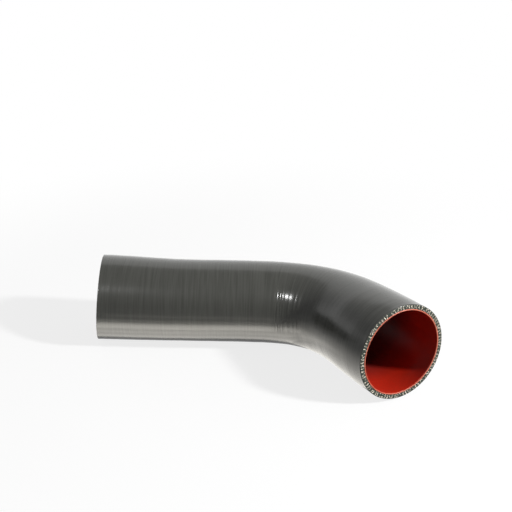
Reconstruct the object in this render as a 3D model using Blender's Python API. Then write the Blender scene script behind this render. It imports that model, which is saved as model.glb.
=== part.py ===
"""Intercooler hose: a bent silicone hose that widens at its cuffs, most at its mouth, lying at rest.

Two layers make it: a thick grey wall of silicone and woven fabric, and a thin red liner round the bore.
Units are metres. The hose is first drawn flat, its far end at the origin and its straight leg along +X,
and then turned as one so that it lies on its lowest points, with its footprint's middle at the origin.
"""

import itertools
import math

import bmesh
import bpy
from mathutils import Matrix, Vector

# Bores, from the far end to the mouth
FAR_BORE = 0.0550
BODY_BORE = 0.0524
MOUTH_BORE = 0.0600

# Layers, from the bore outwards
LINER_THICKNESS = 0.0008
LAYER_GAP = 0.0003
WALL_THICKNESS = 0.0030

# Route of the centreline
FAR_LEG = 0.1135
BEND_RUN = 0.100
MOUTH_LEG = 0.039
BEND_ANGLE = math.radians(57.0)
LEG_BOW = math.radians(2.2)

# Swells at the two cuffs
FAR_SWELL = 0.070
MOUTH_SWELL = 0.110
MOUTH_CUFF = 0.007

# The far end was cut a little askew
FAR_CUT_YAW = math.radians(-4.3)
FAR_CUT_PITCH = math.radians(3.9)
FAR_CUT_BLEND = 0.025

# Shallow wrinkles on the inside of the bend
WRINKLE_COUNT = 5
WRINKLE_PITCH = 0.0028
WRINKLE_DEPTH = 0.0003
WRINKLE_START = 0.131
WRINKLE_LIFT = math.radians(12.0)
WRINKLE_SPREAD = 6

# Finish of the two layers
GREY_COLOUR = (0.074, 0.072, 0.066)
GREY_ROUGHNESS = 0.42
RED_COLOUR = (0.52, 0.035, 0.014)
RED_ROUGHNESS = 0.38

# Fineness of the surfaces
POINTS_AROUND = 48
STATION_STEP = 0.0086
POINTS_PER_WRINKLE = 4
ROUTE_STEPS = 8
SHARP_EDGE = math.radians(50.0)
SETTLING_PASSES = 4
TOUCH = 0.000001

HOSE_LENGTH = FAR_LEG + BEND_RUN + MOUTH_LEG
WRINKLE_END = WRINKLE_START + WRINKLE_COUNT * WRINKLE_PITCH


def clear_scene():
    for obj in list(bpy.data.objects):
        bpy.data.objects.remove(obj, do_unlink=True)


def ease(share):
    """A smooth step from 0 to 1."""
    share = min(max(share, 0.0), 1.0)
    return share * share * (3.0 - 2.0 * share)


def heading(station):
    """Direction of the centreline in the flat hose, measured from +X; the bend turns towards -Y."""
    bend = BEND_ANGLE * ease((station - FAR_LEG) / BEND_RUN)
    bow = LEG_BOW * math.sin(math.tau * min(station / FAR_LEG, 1.0))
    return -(bend + bow)


def route(stations):
    """Points of the centreline at rising stations, the first one at the origin."""
    points = [Vector((0.0, 0.0, 0.0))]
    for start, end in zip(stations, stations[1:]):
        step = (end - start) / ROUTE_STEPS
        point = points[-1].copy()
        for i in range(ROUTE_STEPS):
            angle = heading(start + (i + 0.5) * step)
            point += step * Vector((math.cos(angle), math.sin(angle), 0.0))
        points.append(point)
    return points


def bore_radius(station):
    far_share = 1.0 - ease(station / FAR_SWELL)
    swell_start = HOSE_LENGTH - MOUTH_CUFF - MOUTH_SWELL
    mouth_share = ease((station - swell_start) / MOUTH_SWELL)
    bore = BODY_BORE + (FAR_BORE - BODY_BORE) * far_share + (MOUTH_BORE - BODY_BORE) * mouth_share
    return bore / 2.0


def wrinkle_depth(station, angle):
    """How far the wrinkles dip into the outer skin, least at their ends and away from the bend's inside."""
    share = (station - WRINKLE_START) / (WRINKLE_END - WRINKLE_START)
    if not 0.0 < share < 1.0:
        return 0.0
    wave = 0.5 - 0.5 * math.cos(math.tau * WRINKLE_COUNT * share)
    facing = max(0.0, -math.cos(angle + WRINKLE_LIFT))
    return WRINKLE_DEPTH * wave * math.sin(math.pi * share) * facing**WRINKLE_SPREAD


def even_stations():
    count = math.ceil(HOSE_LENGTH / STATION_STEP)
    return [HOSE_LENGTH * i / count for i in range(count + 1)]


def wrinkled_stations():
    """Even stations, with closer ones where the wrinkles lie."""
    count = WRINKLE_COUNT * POINTS_PER_WRINKLE
    close = [WRINKLE_START + (WRINKLE_END - WRINKLE_START) * i / count for i in range(count + 1)]
    margin = STATION_STEP / 3.0
    apart = [s for s in even_stations() if s < WRINKLE_START - margin or s > WRINKLE_END + margin]
    return sorted(apart + close)


def skin_rings(stations, offset, dented=False):
    """Rings of points at an offset from the bore, square to the route, but leaning with the far cut."""
    up = Vector((0.0, 0.0, 1.0))
    rings = []
    for station, centre in zip(stations, route(stations)):
        angle = heading(station)
        along = Vector((math.cos(angle), math.sin(angle), 0.0))
        side = Vector((-along.y, along.x, 0.0))
        lean = max(0.0, 1.0 - station / FAR_CUT_BLEND)
        ring = []
        for i in range(POINTS_AROUND):
            turn = math.tau * i / POINTS_AROUND
            radius = bore_radius(station) + offset
            if dented:
                radius -= wrinkle_depth(station, turn)
            out = radius * (math.cos(turn) * side + math.sin(turn) * up)
            shift = math.tan(FAR_CUT_YAW) * out.dot(side) + math.tan(FAR_CUT_PITCH) * out.dot(up)
            ring.append(centre + out + lean * shift * along)
        rings.append(ring)
    return rings


def join_rings(bm, first, second):
    for i in range(POINTS_AROUND):
        j = (i + 1) % POINTS_AROUND
        bm.faces.new((first[i], first[j], second[j], second[i]))


def make_tube(name, inner_rings, outer_rings, material):
    """A closed tube between two skins."""
    bm = bmesh.new()
    skins = []
    for rings in (inner_rings, outer_rings):
        skin = [[bm.verts.new(point) for point in ring] for ring in rings]
        for first, second in zip(skin, skin[1:]):
            join_rings(bm, first, second)
        skins.append(skin)
    inner, outer = skins
    for end in (0, -1):
        join_rings(bm, inner[end], outer[end])
    bmesh.ops.recalc_face_normals(bm, faces=bm.faces)
    mesh = bpy.data.meshes.new(name)
    bm.to_mesh(mesh)
    bm.free()
    mesh.shade_smooth()
    mesh.set_sharp_from_angle(angle=SHARP_EDGE)
    mesh.materials.append(material)
    obj = bpy.data.objects.new(name, mesh)
    bpy.context.collection.objects.link(obj)
    return obj


def make_material(name, colour, roughness):
    material = bpy.data.materials.new(name)
    material.use_nodes = True
    shader = material.node_tree.nodes["Principled BSDF"]
    shader.inputs["Base Color"].default_value = (*colour, 1.0)
    shader.inputs["Roughness"].default_value = roughness
    shader.inputs["Metallic"].default_value = 0.0
    return material


def centre_of_mass(obj):
    """The middle of a closed mesh, from the tetrahedra between its triangles and the origin."""
    mesh = obj.data
    mesh.calc_loop_triangles()
    total = 0.0
    centre = Vector((0.0, 0.0, 0.0))
    for triangle in mesh.loop_triangles:
        a, b, c = (mesh.vertices[i].co for i in triangle.vertices)
        volume = a.dot(b.cross(c)) / 6.0
        total += volume
        centre += volume * (a + b + c) / 4.0
    return centre / total


def carrying_normal(feet, centre):
    """Upward normal of the plane that carries the weight.

    It passes through three of the feet with none below it, and of all such planes it is the highest one
    beneath the centre of mass.
    """
    highest = -math.inf
    carrying = None
    for a, b, c in itertools.combinations(feet, 3):
        normal = (b - a).cross(c - a).normalized()
        if normal.z < 0.0:
            normal.negate()
        if normal.z == 0.0 or any(normal.dot(foot - a) < -TOUCH for foot in feet):
            continue
        height = centre.z - normal.dot(centre - a) / normal.z
        if height > highest:
            highest, carrying = height, normal
    return carrying


def resting_turn(rings, centre):
    """The turn by which the flat hose settles; each pass takes the lowest point of every ring as a foot."""
    turn = Matrix.Identity(3)
    for _ in range(SETTLING_PASSES):
        feet = [min((turn @ point for point in ring), key=lambda point: point.z) for ring in rings]
        normal = carrying_normal(feet, turn @ centre)
        turn = normal.rotation_difference(Vector((0.0, 0.0, 1.0))).to_matrix() @ turn
    return turn


def placement(turn, rings):
    """The turn, with the move that centres the footprint and sets the lowest point on the ground."""
    points = [turn @ point for ring in rings for point in ring]
    low = [min(point[axis] for point in points) for axis in range(3)]
    high = [max(point[axis] for point in points) for axis in range(3)]
    foot = Vector(((low[0] + high[0]) / 2.0, (low[1] + high[1]) / 2.0, low[2]))
    return Matrix.Translation(-foot) @ turn.to_4x4()


def build():
    clear_scene()
    grey = make_material("grey_silicone", GREY_COLOUR, GREY_ROUGHNESS)
    red = make_material("red_silicone", RED_COLOUR, RED_ROUGHNESS)
    even = even_stations()
    wall_start = LINER_THICKNESS + LAYER_GAP
    wall_end = wall_start + WALL_THICKNESS
    wall_skin = skin_rings(wrinkled_stations(), wall_end, dented=True)
    wall = make_tube("reinforced_wall", skin_rings(even, wall_start), wall_skin, grey)
    liner = make_tube("bore_liner", skin_rings(even, 0.0), skin_rings(even, LINER_THICKNESS), red)
    turn = resting_turn(skin_rings(even, wall_end), centre_of_mass(wall))
    at_rest = placement(turn, wall_skin)
    for obj in (wall, liner):
        obj.matrix_world = at_rest


build()
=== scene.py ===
"""Looks of the intercooler hose: its wrapped silicone cover, the cut yarns at its ends and its red liner."""

import math

import bpy
import numpy as np
from mathutils import Euler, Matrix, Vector


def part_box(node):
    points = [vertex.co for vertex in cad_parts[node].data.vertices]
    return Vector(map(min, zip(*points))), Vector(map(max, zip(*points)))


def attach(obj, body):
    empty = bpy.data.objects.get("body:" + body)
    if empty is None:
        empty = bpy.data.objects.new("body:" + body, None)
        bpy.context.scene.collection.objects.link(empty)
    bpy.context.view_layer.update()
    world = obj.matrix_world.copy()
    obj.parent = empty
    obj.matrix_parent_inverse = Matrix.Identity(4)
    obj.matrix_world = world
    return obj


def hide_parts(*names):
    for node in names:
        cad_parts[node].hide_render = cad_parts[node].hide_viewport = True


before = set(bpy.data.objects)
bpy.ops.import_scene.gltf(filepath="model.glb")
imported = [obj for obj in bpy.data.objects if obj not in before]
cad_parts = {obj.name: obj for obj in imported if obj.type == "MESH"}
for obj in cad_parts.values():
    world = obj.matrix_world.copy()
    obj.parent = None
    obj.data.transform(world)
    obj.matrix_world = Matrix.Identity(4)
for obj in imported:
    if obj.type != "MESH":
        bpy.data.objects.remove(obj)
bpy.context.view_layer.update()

TAU = math.tau
MM = 0.001

# Bores, layers and route of the hose, in metres, the same as the solids
FAR_BORE = 0.0550
BODY_BORE = 0.0524
MOUTH_BORE = 0.0600
LINER_THICKNESS = 0.0008
LAYER_GAP = 0.0003
WALL_THICKNESS = 0.0030
FAR_LEG = 0.1135
BEND_RUN = 0.100
MOUTH_LEG = 0.039
BEND_ANGLE = math.radians(57.0)
LEG_BOW = math.radians(2.2)
FAR_SWELL = 0.070
MOUTH_SWELL = 0.110
MOUTH_CUFF = 0.007
FAR_CUT_YAW = math.radians(-4.3)
FAR_CUT_PITCH = math.radians(3.9)
FAR_CUT_BLEND = 0.025
WRINKLE_COUNT = 5
WRINKLE_PITCH = 0.0028
WRINKLE_DEPTH = 0.0003
WRINKLE_START = 0.131
WRINKLE_LIFT = math.radians(12.0)
WRINKLE_SPREAD = 6
HOSE_LENGTH = FAR_LEG + BEND_RUN + MOUTH_LEG
WRINKLE_END = WRINKLE_START + WRINKLE_COUNT * WRINKLE_PITCH
WALL_START = LINER_THICKNESS + LAYER_GAP
WALL_END = WALL_START + WALL_THICKNESS

# The two ends, as station and direction into the hose
FAR_END = (0.0, 1.0)
MOUTH_END = (HOSE_LENGTH, -1.0)

# How the flat hose turns to lie at rest
REST_TURN = Euler((math.radians(-4.650), math.radians(0.496), 0.0))

# Fineness of the meshes
ROUTE_STEPS = 4000
PLACING_STATIONS = 60
WALL_TURNS = 192
SKIN_STEP = 0.00075
HIDDEN_STEP = 0.008
LINER_TURNS = 160
LINER_STEP = 0.002
FACE_RINGS = 9
STUB_TURNS = 10

# Cover: how far it sinks to make room for its waves, and over what length these fade in from the cuts
COVER_SINK = 0.05 * MM
EDGE_FADE = 0.004

# Waves in the cover, as wavelength and height, each with every number of lobes round the hose
COVER_WAVES = (
    (0.0022, 0.004 * MM),
    (0.0027, 0.005 * MM),
    (0.0036, 0.006 * MM),
    (0.0055, 0.008 * MM),
    (0.011, 0.015 * MM),
    (0.023, 0.035 * MM),
)
COVER_LOBES = (0, 1, 2)
COVER_SEED = 5
WAVELENGTH_RANGE = (0.85, 1.15)
# Three random waves are together about 1.7 times as high as one
LOBES_TOGETHER = 1.7

# Creases in the cover on the inside of the bend: where they lie, and how high, wide and long they are
CREASES = (0.1368, 0.1417, 0.1484, 0.1554, 0.1603)
CREASE_HEIGHT = 0.00011
CREASE_WIDTH = 0.0016
CREASE_MIDDLE = math.radians(168.0)
CREASE_REACH = math.radians(34.0)

# Cut faces: the silicone stands a little back from the yarns, and its outer rim is slightly rounded
FACE_RECESS = 0.00022
RIM_ROUND = 0.00025
RIM_BACK = 0.45 * RIM_ROUND
RIM_DROP = 0.12 * RIM_ROUND
SEAM = 0.00003

# Waves in the cut faces, as how many go round and how deep they are
CUT_WAVES = ((5, 0.04 * MM), (23, 0.025 * MM), (61, 0.025 * MM), (83, 0.025 * MM))
CUT_SEED = 8

# Materials of the wall, as places in its list
COVER_SLOT = 0
CUT_SLOT = 1

# Rims of the liner, from the bore outwards, as depth below the end and height above the bore
LINER_ROUND = 0.25 * MM
LINER_CORNER = 0.07 * MM
LINER_RIM = (
    (LINER_ROUND, 0.0),
    (LINER_CORNER, LINER_CORNER),
    (0.0, LINER_ROUND),
    (0.0, LINER_THICKNESS),
)

# Cut yarns: rows from the liner outwards as (share of the wall, slant in degrees, length, width, count)
YARN_ROWS = (
    (0.09, 10.0, 0.00100, 0.00080, 90),
    (0.40, 58.0, 0.00160, 0.00080, 90),
    (0.75, -58.0, 0.00145, 0.00080, 90),
)
YARN_HEIGHT = 0.00030
YARN_SINK = 0.08 * MM
YARN_MISSING = 0.08
FAR_YARN_SEED = 11
MOUTH_YARN_SEED = 12

# How the yarns differ: ranges of size, and scatter of slant in radians, of radius and of place in a row
YARN_LENGTH_RANGE = (0.60, 1.15)
YARN_WIDTH_RANGE = (0.75, 1.15)
YARN_HEIGHT_RANGE = (0.7, 1.0)
YARN_SLANT_SCATTER = 0.25
YARN_RADIUS_SCATTER = 0.07 * MM
YARN_PLACE_SCATTER = 0.16

# How close the yarns come to the liner and to the cover
LINER_MARGIN = 0.05 * MM
COVER_MARGIN = 0.25 * MM

# A yarn end of unit size: the depth of its foot, and its levels as width and height
STUB_FOOT = -0.8
STUB_LEVELS = ((1.0, STUB_FOOT), (1.0, 0.0), (0.86, 0.5), (0.5, 0.87))

# Colours of the finishes
COVER_DARK = (0.046, 0.047, 0.040)
COVER_PALE = (0.065, 0.066, 0.058)
COVER_BLOTCH = (0.067, 0.067, 0.059)
CUT_DARK = (0.016, 0.024, 0.017)
CUT_PALE = (0.038, 0.049, 0.038)
CUT_FIBRE = (0.20, 0.21, 0.17)
YARN_GREY = (0.43, 0.41, 0.33)
YARN_CREAM = (0.92, 0.82, 0.68)
YARN_STRAND = (0.25, 0.25, 0.21)
LINER_DARK = (0.38, 0.013, 0.004)
LINER_PALE = (0.43, 0.017, 0.005)
# Painted shade for the liner deep in the bore, away from both ends
LINER_PAINTED_SHADE = (0.12, 0.012, 0.010)
LINER_CUT = (0.60, 0.15, 0.09)

# Roughness of the finishes, least and most
COVER_ROUGHNESS = (0.19, 0.25)
CUT_ROUGHNESS = (0.6, 0.85)
YARN_ROUGHNESS = (0.65, 0.9)
LINER_ROUGHNESS = (0.36, 0.46)

# Patterns of the finishes: how fine they are, in cells to the metre
COVER_RINGS = 900.0
COVER_BANDS = 300.0
COVER_BLOTCHES = 55.0
COVER_GRAIN = 2600.0
CUT_GRAIN = 1900.0
CUT_FIBRES = 1500.0
YARN_STRANDS = 6000.0
LINER_RINGS = 500.0
LINER_CLOUDS = 70.0

# Share to which a pattern's place is squeezed in the hose's section, which draws the pattern out round it
RING_SQUEEZE = 0.04
BAND_SQUEEZE = 0.10
LINER_SQUEEZE = 0.06

# Spans of the patterns' values that are told apart, and how much of a colour they give
WIDE_SPAN = (0.3, 0.7)
MIDDLE_SPAN = (0.35, 0.65)
BLOTCH_SPAN = (0.35, 0.75)
BLOTCH_AMOUNT = (0.0, 0.35)
FIBRE_SPAN = (0.15, 0.45)
FIBRE_AMOUNT = (0.1, 0.0)
SHADE_SPAN = (0.1, 0.9)
STRAND_SPAN = (0.4, 0.6)
STRAND_AMOUNT = (0.0, 0.15)

# Share of the bands in the cover's streaks, and of the blotches in its roughness
BAND_SHARE = 0.4
BLOTCH_SHARE = 0.5

# Depth of the bumps
RING_BUMP = 0.000006
BAND_BUMP = 0.00002
GRAIN_BUMP = 0.000003
CUT_BUMP = 0.00010
STRAND_BUMP = 0.00004
LINER_BUMP = 0.00003

# Liner: depths between which the painted shade deep in the bore gives way to its own red, and between which
# the paler cut edge begins
PAINTED_SHADE_DEPTHS = (0.046, 0.020)
CUT_DEPTHS = (0.0004, 0.0002)

# Floor: its reach, its shade and glow to the camera, the light it throws back and its mirror image
FLOOR_REACH = 4.0
FLOOR_SHADE = 0.20
FLOOR_WHITE = 0.80
FLOOR_BOUNCE = 0.15
FLOOR_MIRROR = 0.52
# Distances from the middle between which the shadow fades away
SHADOW_FADE = (0.20, 0.45)

# Room: its light fades upwards between two heights, its mirror image brightens upwards, and its light
# is dimmer in front, where Y is least
ROOM_HEIGHTS = (math.sin(math.radians(20.0)), math.sin(math.radians(60.0)))
ROOM_LIGHT = (0.66, 0.10)
ROOM_MIRROR = (0.42, 0.60)
ROOM_FRONT_LIGHT = 0.12
ROOM_FRONT_FADE = (-0.75, -0.35)

# Lamps that face the hose
LAMP_TARGET = (0.0, 0.0, 0.03)
RIGHT_SOFTBOX = {"elevation": 33.0, "azimuth": 70.0, "distance": 1.6, "size": 0.14, "light": 1.0}
LEFT_LAMP = {"elevation": 43.5, "azimuth": -39.0, "distance": 2.0, "size": 0.16, "light": 0.27}
# Energy of a lamp of one square metre whose radiance is 1
LAMP_ENERGY = 4.0

# Pale board behind the hose, which faces the camera's side
BOARD_PLACE = (-0.05, 0.10, 0.085)
BOARD_SIZE = (0.80, 0.17)
BOARD_RADIANCE = 0.62
FORWARD = (0.0, -1.0, 0.0)

# Patches of the table: left, right, front and back edge, spread in degrees and radiance
TABLE_PATCHES = (
    (-0.160, 0.070, -0.045, 0.012, 150.0, 0.95),
    (0.000, 0.070, -0.062, -0.045, 150.0, 0.95),
    (-0.160, 0.006, -0.024, -0.008, 118.0, 1.50),
    (-0.160, 0.014, -0.024, 0.002, 118.0, 0.67),
    (-0.160, 0.020, -0.024, 0.010, 118.0, 0.37),
    (-0.130, 0.006, -0.092, -0.062, 150.0, 1.20),
    (-0.160, 0.100, 0.045, 0.098, 150.0, 1.35),
)
TABLE_LIFT = 0.0003
TABLE_COLOUR = (1.0, 0.96, 0.88)
UPWARD = (0.0, 0.0, 1.0)

# Camera
CAMERA_PLACE = (0.02717, -0.62101, 0.38038)
CAMERA_TURN = (math.radians(64.47), 0.0, math.radians(2.846))
CAMERA_LENS = 70.03
CAMERA_SENSOR = 36.0
CAMERA_NEAREST = 0.01


def ease(share):
    """A smooth step from 0 to 1."""
    share = np.clip(share, 0.0, 1.0)
    return share * share * (3.0 - 2.0 * share)


def heading(station):
    """Direction of the centreline in the flat hose, measured from +X."""
    bend = BEND_ANGLE * ease((station - FAR_LEG) / BEND_RUN)
    bow = LEG_BOW * np.sin(TAU * np.minimum(station / FAR_LEG, 1.0))
    return -(bend + bow)


def bore_radius(station):
    """Radius of the bore, which swells towards both ends."""
    far_share = 1.0 - ease(station / FAR_SWELL)
    swell_start = HOSE_LENGTH - MOUTH_CUFF - MOUTH_SWELL
    mouth_share = ease((station - swell_start) / MOUTH_SWELL)
    return (BODY_BORE + (FAR_BORE - BODY_BORE) * far_share + (MOUTH_BORE - BODY_BORE) * mouth_share) / 2.0


def wrinkle_depth(station, turn):
    """How far the wrinkles dip into the cover on the inside of the bend."""
    share = (station - WRINKLE_START) / (WRINKLE_END - WRINKLE_START)
    share = np.where((share > 0.0) & (share < 1.0), share, 0.0)
    wave = 0.5 - 0.5 * np.cos(TAU * WRINKLE_COUNT * share)
    facing = np.maximum(0.0, -np.cos(turn + WRINKLE_LIFT))
    return WRINKLE_DEPTH * wave * np.sin(math.pi * share) * facing**WRINKLE_SPREAD


class Route:
    """The centreline of the flat hose, from the far end to the mouth."""

    marks = np.linspace(0.0, HOSE_LENGTH, ROUTE_STEPS + 1)
    angles = heading((marks[:-1] + marks[1:]) / 2.0)
    step = HOSE_LENGTH / ROUTE_STEPS
    x = np.concatenate(([0.0], np.cumsum(np.cos(angles)) * step))
    y = np.concatenate(([0.0], np.cumsum(np.sin(angles)) * step))


def even_turns(count):
    """Turns round the hose, as one row."""
    return np.linspace(0.0, TAU, count, endpoint=False)[None, :]


def flat_points(station, turn, radius):
    """Points of the flat hose at a station, a turn round the route and a radius from it."""
    station, turn, radius = np.broadcast_arrays(station, turn, radius)
    angle = heading(station)
    side = radius * np.cos(turn)
    up = radius * np.sin(turn)
    lean = np.maximum(0.0, 1.0 - station / FAR_CUT_BLEND)
    along = lean * (math.tan(FAR_CUT_YAW) * side + math.tan(FAR_CUT_PITCH) * up)
    x = np.interp(station, Route.marks, Route.x) - np.sin(angle) * side + np.cos(angle) * along
    y = np.interp(station, Route.marks, Route.y) + np.cos(angle) * side + np.sin(angle) * along
    return np.stack((x, y, up), axis=-1)


def resting_place():
    """Turn and move from the flat hose to the resting one, which fills the solid wall's box."""
    turn = np.array(REST_TURN.to_matrix())
    stations = np.linspace(0.0, HOSE_LENGTH, PLACING_STATIONS)[:, None]
    points = flat_points(stations, even_turns(WALL_TURNS), bore_radius(stations) + WALL_END) @ turn.T
    low, high = (np.array(corner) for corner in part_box("reinforced_wall"))
    middle = (points.min(axis=(0, 1)) + points.max(axis=(0, 1))) / 2.0
    move = (low + high) / 2.0 - middle
    move[2] = low[2] - points[..., 2].min()
    return turn, move


TURN, MOVE = resting_place()


def placed(station, turn, radius):
    """Points of the resting hose, one to a row."""
    return (flat_points(station, turn, radius) @ TURN.T + MOVE).reshape(-1, 3)


def straight(station, turn, radius):
    """The same points on the hose as if it were straight, which the finishes follow."""
    station, turn, radius = np.broadcast_arrays(station, turn, radius)
    return np.stack((station, radius * np.cos(turn), radius * np.sin(turn)), axis=-1).reshape(-1, 3)


def new_object(name, data):
    obj = bpy.data.objects.new(name, data)
    bpy.context.scene.collection.objects.link(obj)
    return obj


def add_piece(name, stations, turns, radii, faces, materials):
    """A mesh object on the resting hose that keeps its straight coordinates as an attribute."""
    mesh = bpy.data.meshes.new(name)
    mesh.from_pydata(placed(stations, turns, radii).tolist(), [], faces)
    layer = mesh.attributes.new("straight", "FLOAT_VECTOR", "POINT")
    layer.data.foreach_set("vector", straight(stations, turns, radii).astype(np.float32).ravel())
    for material in materials:
        mesh.materials.append(material)
    mesh.shade_smooth()
    return new_object(name, mesh)


def loop_faces(rows, columns):
    """Quads of a grid that closes on itself both ways."""
    i = np.arange(rows)[:, None]
    j = np.arange(columns)[None, :]
    next_i = (i + 1) % rows
    next_j = (j + 1) % columns
    corners = (i * columns + j, i * columns + next_j, next_i * columns + next_j, next_i * columns + j)
    return np.stack([np.broadcast_to(corner, (rows, columns)) for corner in corners], axis=-1).reshape(-1, 4)


def uneven_cover(station, turn):
    """Small waves in the cover, left by the tape that the hose was wrapped in."""
    rng = np.random.default_rng(COVER_SEED)
    height = np.zeros(np.broadcast_shapes(np.shape(station), np.shape(turn)))
    for wavelength, size in COVER_WAVES:
        for lobes in COVER_LOBES:
            phase, shift = rng.uniform(0.0, TAU, 2)
            wave = np.sin(TAU * station / (wavelength * rng.uniform(*WAVELENGTH_RANGE)) + phase)
            height = height + size * wave * np.cos(lobes * turn + shift) / LOBES_TOGETHER
    return height


def creases(station, turn):
    """Low soft ridges that the wrapping tape left on the inside of the bend."""
    fade = np.exp(-(((turn - CREASE_MIDDLE) / CREASE_REACH) ** 2))
    ridges = sum(np.exp(-(((station - place) / CREASE_WIDTH) ** 2)) for place in CREASES)
    return CREASE_HEIGHT * fade * ridges


def cover_radius(station, turn):
    """Radius of the cover, with its wrinkles, waves and creases."""
    dents = wrinkle_depth(station, turn)
    fade = ease(station / EDGE_FADE) * ease((HOSE_LENGTH - station) / EDGE_FADE)
    height = uneven_cover(station, turn) - COVER_SINK + creases(station, turn)
    return bore_radius(station) + WALL_END - dents + height * fade


def cut_unevenness(turn, radius):
    """How far the cut faces sink here and there; each wave also turns as it goes outwards."""
    rng = np.random.default_rng(CUT_SEED)
    depth = np.zeros_like(turn)
    for waves, size in CUT_WAVES:
        phase, shift = rng.uniform(0.0, TAU, 2)
        depth = depth + size * np.sin(waves * turn + phase + radius / MM * shift)
    return depth


def rim_loop(end, inward):
    """The loop that rounds the edge between the cover and a cut face."""
    return end + inward * (FACE_RECESS + RIM_BACK), bore_radius(end) + WALL_END - RIM_DROP, COVER_SLOT


def face_loops(end, inward, turns):
    """The loops of a cut face, from its rim to the liner."""
    edge = bore_radius(end) + WALL_END - RIM_ROUND
    inner = bore_radius(end) + LINER_THICKNESS + SEAM
    for share in np.linspace(0.0, 1.0, FACE_RINGS):
        radius = edge + (inner - edge) * share
        yield end + inward * (FACE_RECESS + cut_unevenness(turns, radius)), radius, CUT_SLOT


def wall_loops(turns):
    """Station, radius and material of each loop of the wall, from the cover on round its section."""
    count = round(HOSE_LENGTH / SKIN_STEP)
    for i in range(1, count):
        station = HOSE_LENGTH * i / count
        yield station, cover_radius(station, turns), COVER_SLOT
    yield rim_loop(*MOUTH_END)
    yield from face_loops(*MOUTH_END, turns)
    hidden = round(HOSE_LENGTH / HIDDEN_STEP)
    for i in range(1, hidden):
        station = HOSE_LENGTH * (1.0 - i / hidden)
        yield station, bore_radius(station) + LINER_THICKNESS + SEAM, CUT_SLOT
    yield from reversed(list(face_loops(*FAR_END, turns)))
    yield rim_loop(*FAR_END)


def wall_mesh(cover, cut):
    """The wall: its cover, two cut faces with rounded rims and the skin that the liner hides."""
    turns = even_turns(WALL_TURNS)
    stations, radii, slots = zip(*wall_loops(turns))
    stations = np.concatenate([np.broadcast_to(station, turns.shape) for station in stations])
    radii = np.concatenate([np.broadcast_to(radius, turns.shape) for radius in radii])
    faces = loop_faces(len(slots), WALL_TURNS).tolist()
    obj = add_piece("hose_wall", stations, turns, radii, faces, (cover, cut))
    obj.data.polygons.foreach_set("material_index", np.repeat(slots, WALL_TURNS).astype(np.int32))
    return obj


def liner_mesh(finish):
    """The liner: a thin tube with a small round at each rim."""
    count = round(HOSE_LENGTH / LINER_STEP)
    inner = [(HOSE_LENGTH * i / count, 0.0) for i in range(1, count)]
    mouth = [(HOSE_LENGTH - depth, height) for depth, height in LINER_RIM]
    hidden = round(HOSE_LENGTH / HIDDEN_STEP)
    outer = [(HOSE_LENGTH * i / hidden, LINER_THICKNESS) for i in range(hidden - 1, 0, -1)]
    profile = np.array(inner + mouth + outer + list(reversed(LINER_RIM)))
    stations = profile[:, :1]
    radii = bore_radius(stations) + profile[:, 1:]
    faces = loop_faces(len(profile), LINER_TURNS)[:, ::-1].tolist()
    return add_piece("hose_liner", stations, even_turns(LINER_TURNS), radii, faces, (finish,))


def yarn_stub():
    """One cut yarn end, of unit size: a stem with a low dome. Gives its points and its faces."""
    angles = np.linspace(0.0, TAU, STUB_TURNS, endpoint=False)
    points = [(wide * math.cos(a), wide * math.sin(a), rise) for wide, rise in STUB_LEVELS for a in angles]
    top, bottom = len(points), len(points) + 1
    points += [(0.0, 0.0, 1.0), (0.0, 0.0, STUB_FOOT)]
    shoulder = (len(STUB_LEVELS) - 1) * STUB_TURNS
    faces = []
    for i in range(STUB_TURNS):
        j = (i + 1) % STUB_TURNS
        for low in range(0, shoulder, STUB_TURNS):
            high = low + STUB_TURNS
            faces.append((low + i, low + j, high + j, high + i))
        faces.append((shoulder + i, shoulder + j, top))
        faces.append((j, i, bottom))
    return np.array(points), faces


def yarn_ends(name, end, inward, finish, seed):
    """The cut yarns of the plies, in rows round a cut face; each keeps a random shade for its finish."""
    rng = np.random.default_rng(seed)
    stub, stub_faces = yarn_stub()
    bore = bore_radius(end)
    least = bore + LINER_THICKNESS + LINER_MARGIN
    most = bore + WALL_END - COVER_MARGIN
    stations, turns, radii, faces, shades = [], [], [], [], []
    for share, slant, length, width, count in YARN_ROWS:
        middle = bore + WALL_START + WALL_THICKNESS * share
        for i in range(count):
            if rng.random() < YARN_MISSING:
                continue
            angle = math.radians(slant) + rng.normal(0.0, YARN_SLANT_SCATTER)
            along = stub[:, 0] * length / 2.0 * rng.uniform(*YARN_LENGTH_RANGE)
            across = stub[:, 1] * width / 2.0 * rng.uniform(*YARN_WIDTH_RANGE)
            sideways = along * math.cos(angle) - across * math.sin(angle)
            outwards = along * math.sin(angle) + across * math.cos(angle)
            radius = middle + rng.normal(0.0, YARN_RADIUS_SCATTER) + outwards
            height = stub[:, 2] * YARN_HEIGHT * rng.uniform(*YARN_HEIGHT_RANGE)
            start = len(stub) * len(shades)
            stations.append(end + inward * (FACE_RECESS + YARN_SINK - height))
            turns.append(TAU * (i + rng.normal(0.0, YARN_PLACE_SCATTER)) / count + sideways / middle)
            radii.append(np.clip(radius, least, most))
            faces += [tuple(start + k for k in face) for face in stub_faces]
            shades.append(rng.random())
    if inward < 0.0:
        faces = [face[::-1] for face in faces]
    stations = np.clip(np.concatenate(stations), 0.0, HOSE_LENGTH)
    obj = add_piece(name, stations, np.concatenate(turns), np.concatenate(radii), faces, (finish,))
    layer = obj.data.attributes.new("shade", "FLOAT", "POINT")
    layer.data.foreach_set("value", np.repeat(shades, len(stub)).astype(np.float32))
    return obj


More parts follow.
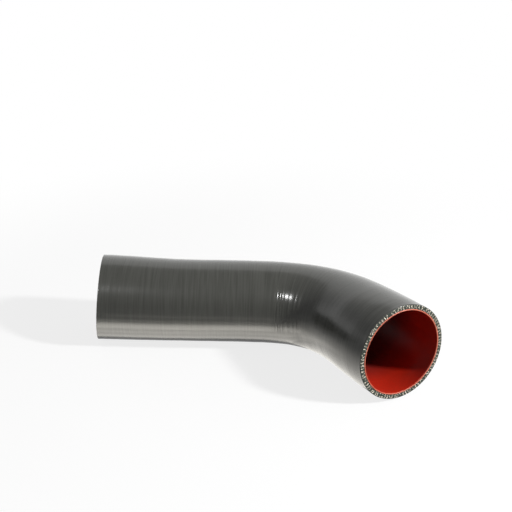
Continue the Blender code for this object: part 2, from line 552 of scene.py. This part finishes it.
class Nodes:
    """Short calls for the nodes of one tree."""

    def __init__(self, tree):
        self.tree = tree

    def fill(self, socket, value):
        """Links another node's output to a socket, or gives it a number, a vector or a colour."""
        if isinstance(value, bpy.types.NodeSocket):
            self.tree.links.new(value, socket)
        elif socket.type == "RGBA":
            socket.default_value = (*value, 1.0)
        else:
            socket.default_value = value

    def outputs(self, kind, inputs=None, **settings):
        """The outputs of a new node, whose inputs are given by name or place."""
        node = self.tree.nodes.new(kind)
        for name, value in settings.items():
            setattr(node, name, value)
        for key, value in (inputs or {}).items():
            self.fill(node.inputs[key], value)
        return node.outputs

    def parts(self, vector):
        return self.outputs("ShaderNodeSeparateXYZ", {0: vector})

    def ranged(self, value, span, result=(0.0, 1.0), smooth=False):
        """A value's way through a span, stretched to the result's span and held at its ends."""
        names = ("Value", "From Min", "From Max", "To Min", "To Max")
        inputs = dict(zip(names, (value, *span, *result)))
        way = "SMOOTHSTEP" if smooth else "LINEAR"
        return self.outputs("ShaderNodeMapRange", inputs, interpolation_type=way)["Result"]


class Finish(Nodes):
    """A material with short calls for its patterns, which follow the straight hose."""

    def __init__(self, name):
        self.material = bpy.data.materials.new(name)
        self.material.use_nodes = True
        super().__init__(self.material.node_tree)
        self.place = self.attribute("straight", "Vector")

    def attribute(self, name, output):
        return self.outputs("ShaderNodeAttribute", attribute_name=name)[output]

    def squeezed(self, share):
        """The place with the hose's section squeezed, so that a pattern on it runs round the hose."""
        inputs = {0: self.place, 1: (1.0, share, share)}
        return self.outputs("ShaderNodeVectorMath", inputs, operation="MULTIPLY")[0]

    def noise(self, place, scale, detail=2.0, roughness=0.5):
        inputs = {"Vector": place, "Scale": scale, "Detail": detail, "Roughness": roughness}
        return self.outputs("ShaderNodeTexNoise", inputs)["Fac"]

    def cells(self, place, scale):
        return self.outputs("ShaderNodeTexVoronoi", {"Vector": place, "Scale": scale})["Distance"]

    def blend(self, first, second, share):
        """A weighted mean of two values."""
        return self.outputs("ShaderNodeMix", {"Factor": share, 2: first, 3: second})[0]

    def mixed(self, factor, first, second):
        """A mix of two colours."""
        inputs = {"Factor": factor, 6: first, 7: second}
        return self.outputs("ShaderNodeMix", inputs, data_type="RGBA")[2]

    def near_ends(self, depths):
        """Rises from 0 to 1 between two depths inside the nearer end."""
        middle = HOSE_LENGTH / 2.0
        station = self.parts(self.place)["X"]
        offset = self.outputs("ShaderNodeMath", {0: station, 1: middle}, operation="SUBTRACT")[0]
        distance = self.outputs("ShaderNodeMath", {0: offset}, operation="ABSOLUTE")[0]
        return self.ranged(distance, [middle - depth for depth in depths])

    def bump(self, height, distance, under=None):
        """A bumpy normal, laid over another one where that is given."""
        inputs = {"Height": height, "Distance": distance}
        if under is not None:
            inputs["Normal"] = under
        return self.outputs("ShaderNodeBump", inputs)["Normal"]

    def wear(self, colour, roughness, normal):
        """Joins the patterns to the material's shader and gives the material."""
        shader = self.tree.nodes["Principled BSDF"]
        self.fill(shader.inputs["Base Color"], colour)
        self.fill(shader.inputs["Roughness"], roughness)
        self.fill(shader.inputs["Normal"], normal)
        return self.material


def cover_finish():
    """Dark grey silicone with close wrap marks round it."""
    finish = Finish("grey_silicone_cover")
    rings = finish.noise(finish.squeezed(RING_SQUEEZE), COVER_RINGS, detail=1.0)
    bands = finish.noise(finish.squeezed(BAND_SQUEEZE), COVER_BANDS)
    blotches = finish.noise(finish.place, COVER_BLOTCHES, detail=4.0)
    grain = finish.noise(finish.place, COVER_GRAIN)
    streaks = finish.blend(rings, bands, BAND_SHARE)
    base = finish.mixed(finish.ranged(streaks, MIDDLE_SPAN), COVER_DARK, COVER_PALE)
    base = finish.mixed(finish.ranged(blotches, BLOTCH_SPAN, BLOTCH_AMOUNT), base, COVER_BLOTCH)
    roughness = finish.ranged(finish.blend(rings, blotches, BLOTCH_SHARE), MIDDLE_SPAN, COVER_ROUGHNESS)
    normal = finish.bump(rings, RING_BUMP)
    normal = finish.bump(bands, BAND_BUMP, under=normal)
    normal = finish.bump(grain, GRAIN_BUMP, under=normal)
    return finish.wear(base, roughness, normal)


def cut_finish():
    """Rough cut silicone, grey with a green tinge, with fine pale fibres in it."""
    finish = Finish("cut_silicone")
    grain = finish.noise(finish.place, CUT_GRAIN, detail=4.0, roughness=0.7)
    fibres = finish.cells(finish.place, CUT_FIBRES)
    base = finish.mixed(finish.ranged(grain, WIDE_SPAN), CUT_DARK, CUT_PALE)
    base = finish.mixed(finish.ranged(fibres, FIBRE_SPAN, FIBRE_AMOUNT), base, CUT_FIBRE)
    roughness = finish.ranged(grain, WIDE_SPAN, CUT_ROUGHNESS)
    return finish.wear(base, roughness, finish.bump(grain, CUT_BUMP))


def yarn_finish():
    """Cream polyester yarn ends, some of them greyer."""
    finish = Finish("polyester_yarn")
    shade = finish.attribute("shade", "Fac")
    strands = finish.noise(finish.place, YARN_STRANDS)
    base = finish.mixed(finish.ranged(shade, SHADE_SPAN), YARN_GREY, YARN_CREAM)
    base = finish.mixed(finish.ranged(strands, STRAND_SPAN, STRAND_AMOUNT), base, YARN_STRAND)
    roughness = finish.ranged(strands, WIDE_SPAN, YARN_ROUGHNESS)
    return finish.wear(base, roughness, finish.bump(strands, STRAND_BUMP))


def liner_finish():
    """Smooth red silicone with faint marks round it, painted shade deep in the bore, and paler at its cut
    edges.
    """
    finish = Finish("red_silicone_liner")
    rings = finish.noise(finish.squeezed(LINER_SQUEEZE), LINER_RINGS, detail=3.0)
    clouds = finish.noise(finish.place, LINER_CLOUDS, detail=3.0)
    base = finish.mixed(finish.ranged(clouds, WIDE_SPAN), LINER_DARK, LINER_PALE)
    # Painted shade: the liner is darker deep in the bore and lightens between the two depths towards each
    # end
    base = finish.mixed(finish.near_ends(PAINTED_SHADE_DEPTHS), LINER_PAINTED_SHADE, base)
    base = finish.mixed(finish.near_ends(CUT_DEPTHS), base, LINER_CUT)
    roughness = finish.ranged(rings, WIDE_SPAN, LINER_ROUGHNESS)
    return finish.wear(base, roughness, finish.bump(rings, LINER_BUMP))


def dress():
    """The pieces that dress the hose, each attached to the body it rides on, with the solids they stand for
    hidden.
    """
    wall = wall_mesh(cover_finish(), cut_finish())
    liner = liner_mesh(liner_finish())
    yarn = yarn_finish()
    far_yarns = yarn_ends("yarn_ends_far", *FAR_END, yarn, FAR_YARN_SEED)
    mouth_yarns = yarn_ends("yarn_ends_mouth", *MOUTH_END, yarn, MOUTH_YARN_SEED)
    for piece in (wall, liner, far_yarns, mouth_yarns):
        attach(piece, "root")
    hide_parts("reinforced_wall")
    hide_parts("bore_liner")


class Light(Nodes):
    """Short calls for the shaders of the floor and the room, which depend on the kind of ray."""

    def __init__(self, tree):
        super().__init__(tree)
        tree.nodes.clear()
        self.rays = self.outputs("ShaderNodeLightPath")

    def mix(self, factor, first, second):
        return self.outputs("ShaderNodeMixShader", {0: factor, 1: first, 2: second})[0]

    def glow(self, strength):
        return self.outputs("ShaderNodeEmission", {"Strength": strength})[0]

    def matt(self, grey):
        return self.outputs("ShaderNodeBsdfDiffuse", {"Color": (grey, grey, grey)})[0]

    def sky(self, strength):
        return self.outputs("ShaderNodeBackground", {"Color": (1.0, 1.0, 1.0), "Strength": strength})[0]

    def show(self, output, seen, mirrored, other):
        """Ends the tree with a shader for the camera's rays, one for mirrored rays and one for the rest."""
        unseen = self.mix(self.rays["Is Glossy Ray"], other, mirrored)
        self.outputs(output, {"Surface": self.mix(self.rays["Is Camera Ray"], unseen, seen)})


def floor_finish():
    """Shows the hose's shadow near it and white farther out, and mirrors as a plain grey."""
    material = bpy.data.materials.new("pale_floor")
    material.use_nodes = True
    light = Light(material.node_tree)
    shades = {0: light.matt(FLOOR_SHADE), 1: light.glow(FLOOR_WHITE)}
    shaded = light.outputs("ShaderNodeAddShader", shades)[0]
    place = light.outputs("ShaderNodeNewGeometry")["Position"]
    reach = light.outputs("ShaderNodeVectorMath", {0: place}, operation="LENGTH")["Value"]
    fade = light.ranged(reach, SHADOW_FADE, smooth=True)
    seen = light.mix(fade, shaded, light.glow(1.0))
    light.show("ShaderNodeOutputMaterial", seen, light.glow(FLOOR_MIRROR), light.matt(FLOOR_BOUNCE))
    return material


def stage():
    """A large pale floor."""
    mesh = bpy.data.meshes.new("floor")
    corners = [(x * FLOOR_REACH, y * FLOOR_REACH, 0.0) for x, y in ((-1, -1), (1, -1), (1, 1), (-1, 1))]
    mesh.from_pydata(corners, [], [(0, 1, 2, 3)])
    mesh.materials.append(floor_finish())
    floor = new_object("floor", mesh)


def room():
    """White for the camera, soft light from all sides for the rest, and a paler ceiling in mirror images."""
    world = bpy.data.worlds.new("studio")
    bpy.context.scene.world = world
    world.use_nodes = True
    light = Light(world.node_tree)
    parts = light.parts(light.outputs("ShaderNodeTexCoord")["Generated"])
    lit = light.sky(light.ranged(parts["Z"], ROOM_HEIGHTS, ROOM_LIGHT, smooth=True))
    behind = light.ranged(parts["Y"], ROOM_FRONT_FADE, smooth=True)
    lit = light.mix(behind, light.sky(ROOM_FRONT_LIGHT), lit)
    mirrored = light.sky(light.ranged(parts["Z"], (0.0, 1.0), ROOM_MIRROR, smooth=True))
    light.show("ShaderNodeOutputWorld", light.sky(1.0), mirrored, lit)


def lamp(name, place, target, size, radiance):
    """A rectangular lamp of a plain radiance that faces its target and that the camera doesn't see."""
    data = bpy.data.lights.new(name, "AREA")
    data.shape = "RECTANGLE"
    data.size, data.size_y = size
    data.energy = LAMP_ENERGY * radiance * data.size * data.size_y
    obj = new_object(name, data)
    obj.location = place
    obj.rotation_euler = (Vector(target) - Vector(place)).to_track_quat("-Z", "Y").to_euler()
    obj.visible_camera = False
    return obj


def softbox(name, elevation, azimuth, distance, size, light):
    """A lamp that gives a surface facing it this much light, 1 being a plain level.

    Its azimuth is 0 on the camera's side and turns towards +X.
    """
    up, turn = math.radians(elevation), math.radians(azimuth)
    direction = Vector((math.cos(up) * math.sin(turn), -math.cos(up) * math.cos(turn), math.sin(up)))
    target = Vector(LAMP_TARGET)
    radiance = math.pi * light * distance**2 / size**2
    return lamp(name, target + distance * direction, target, (size, size), radiance)


def card(name, place, facing, size, radiance):
    """A pale card that only shows mirrored in glossy surfaces."""
    obj = lamp(name, place, Vector(place) + Vector(facing), size, radiance)
    obj.visible_diffuse = False
    return obj


def table():
    """The pale table round the hose, mirrored in its lower flanks; where patches overlap, it is brighter."""
    for i, (left, right, front, back, spread, radiance) in enumerate(TABLE_PATCHES):
        middle = ((left + right) / 2.0, (front + back) / 2.0, TABLE_LIFT * (i + 1))
        patch = card(f"table_{i}", middle, UPWARD, (right - left, back - front), radiance)
        patch.data.spread = math.radians(spread)
        patch.data.color = TABLE_COLOUR


def lights():
    """A softbox that lights the hose, and a lamp and cards that only show mirrored in it."""
    softbox("right_softbox", **RIGHT_SOFTBOX)
    glint = softbox("left_lamp", **LEFT_LAMP)
    glint.visible_diffuse = False
    card("back_board", BOARD_PLACE, FORWARD, BOARD_SIZE, BOARD_RADIANCE)
    table()


def camera():
    """A camera that sees the hose as the photo does."""
    data = bpy.data.cameras.new("camera")
    data.sensor_width = CAMERA_SENSOR
    data.lens = CAMERA_LENS
    data.clip_start = CAMERA_NEAREST
    obj = new_object("camera", data)
    obj.location = CAMERA_PLACE
    obj.rotation_euler = CAMERA_TURN
    bpy.context.scene.camera = obj


dress()
stage()
room()
lights()
camera()
bpy.context.scene.view_settings.view_transform = "Standard"
